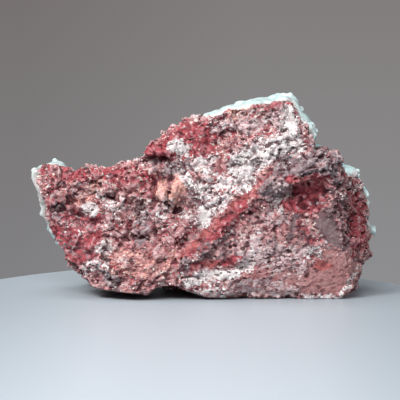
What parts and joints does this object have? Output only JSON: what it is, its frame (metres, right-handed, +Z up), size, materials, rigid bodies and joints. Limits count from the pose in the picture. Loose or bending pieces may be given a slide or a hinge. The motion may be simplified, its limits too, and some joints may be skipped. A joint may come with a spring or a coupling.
{
  "type": "hemimorphite mineral specimen",
  "caption": "Hand specimen of hemimorphite: a rough red iron-stained rock slab whose back and rim carry a knobby pale blue-green crust; stands on its broken base.",
  "frame": {"origin": "middle of the footprint, on the surface the specimen stands on", "axes": "+Z up; X along the specimen's length, with the crest on the +X side; +Y out of the crusted back, so the bare matrix face looks towards -Y"},
  "size_m": [0.1318, 0.0538, 0.0764],
  "materials": {
    "iron_stained_matrix": "dull, rough and earthy, stained crimson, pink, orange and grey",
    "hemimorphite": "waxy, softly shining and slightly see-through, pale blue-green to white"
  },
  "bodies": {
    "root": {"matrix": "iron_stained_matrix", "hemimorphite_crust": "hemimorphite"}
  },
  "joints": []
}
